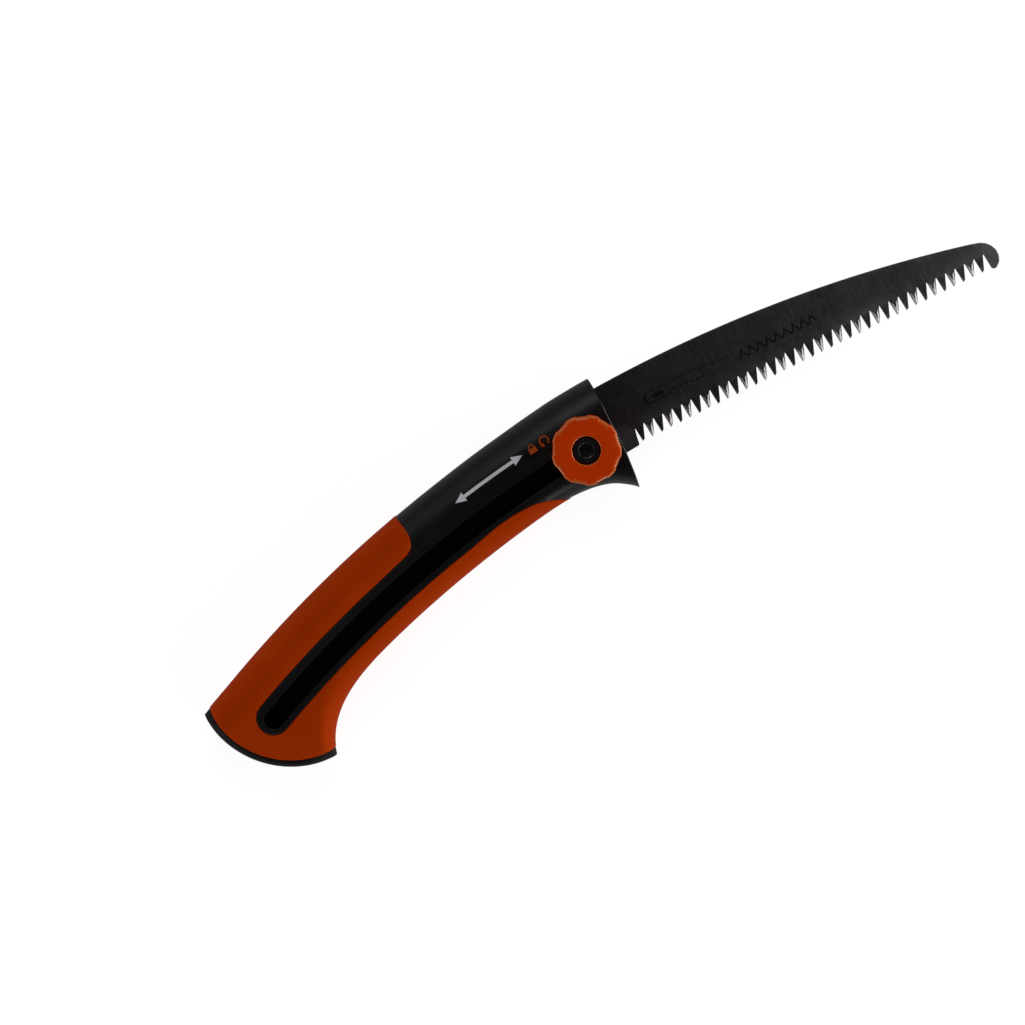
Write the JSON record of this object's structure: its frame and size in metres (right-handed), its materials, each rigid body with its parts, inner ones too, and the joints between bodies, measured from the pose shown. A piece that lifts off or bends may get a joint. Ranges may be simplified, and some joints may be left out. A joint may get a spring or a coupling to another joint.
{
  "type": "retractable pruning saw",
  "caption": "Pruning saw whose curved, coarse-toothed steel blade slides into a pistol-curved two-shell handle and is clamped by a lobed thumb knob.",
  "frame": {"origin": "on the clamp knob's axis, at the left side's flat resting face", "axes": "+X tangent to the blade track at the knob, towards the blade tip; +Y towards the blade's spine; +Z out of the knob side"},
  "size_m": [0.3531, 0.0737, 0.034],
  "materials": {
    "handle_black": "satin black moulded nylon",
    "grip_orange": "soft-touch orange thermoplastic elastomer, matt",
    "cap_black": "matt black moulded nylon",
    "knob_orange": "semi-matt orange moulded nylon",
    "blade_steel": "hard-chrome plated carbon steel with cross-ground brushing, bright ground tooth bevels",
    "slide_black": "black acetal",
    "zinc_steel": "bright zinc plated",
    "spring_steel": "oiled spring steel",
    "black_oxide": "black oxide, slight oil sheen"
  },
  "bodies": {
    "handle": {"right_shell": "handle_black", "left_shell": "handle_black", "right_grip": "grip_orange", "left_grip": "grip_orange", "end_cap": "cap_black", "shell_screw_1": "zinc_steel", "shell_screw_2": "zinc_steel", "shell_screw_3": "zinc_steel", "shell_screw_4": "zinc_steel"},
    "blade_carriage": {"blade": "blade_steel", "carriage_right": "slide_black", "carriage_left": "slide_black", "tang_rivet_1": "zinc_steel", "tang_rivet_2": "zinc_steel", "tang_rivet_3": "zinc_steel", "carriage_nut": "zinc_steel", "slide_shoe": "slide_black", "wave_spring": "spring_steel"},
    "washer_set": {"thrust_washer": "zinc_steel"},
    "knob_set": {"knob": "knob_orange", "clamp_bolt": "black_oxide", "retaining_clip": "spring_steel"}
  },
  "joints": [
    {"name": "blade_slide", "type": "hinge", "parent": "handle", "child": "blade_carriage", "pos_m": [0, -0.48, 0], "axis": [0, 0, 1], "range_deg": [0, 19]},
    {"name": "washer_lift", "type": "slide", "parent": "blade_carriage", "child": "washer_set", "axis": [0, 0, 1], "range_m": [0, 0.0015], "deforming": ["wave_spring"]},
    {"name": "knob_turn", "type": "hinge", "parent": "washer_set", "child": "knob_set", "pos_m": [0, 0, 0.03], "axis": [0, 0, 1], "range_deg": [0, 540]}
  ],
  "couplings": [
    {"joint": "knob_turn", "follows": "washer_lift", "rad_per_m": 6283.2}
  ]
}
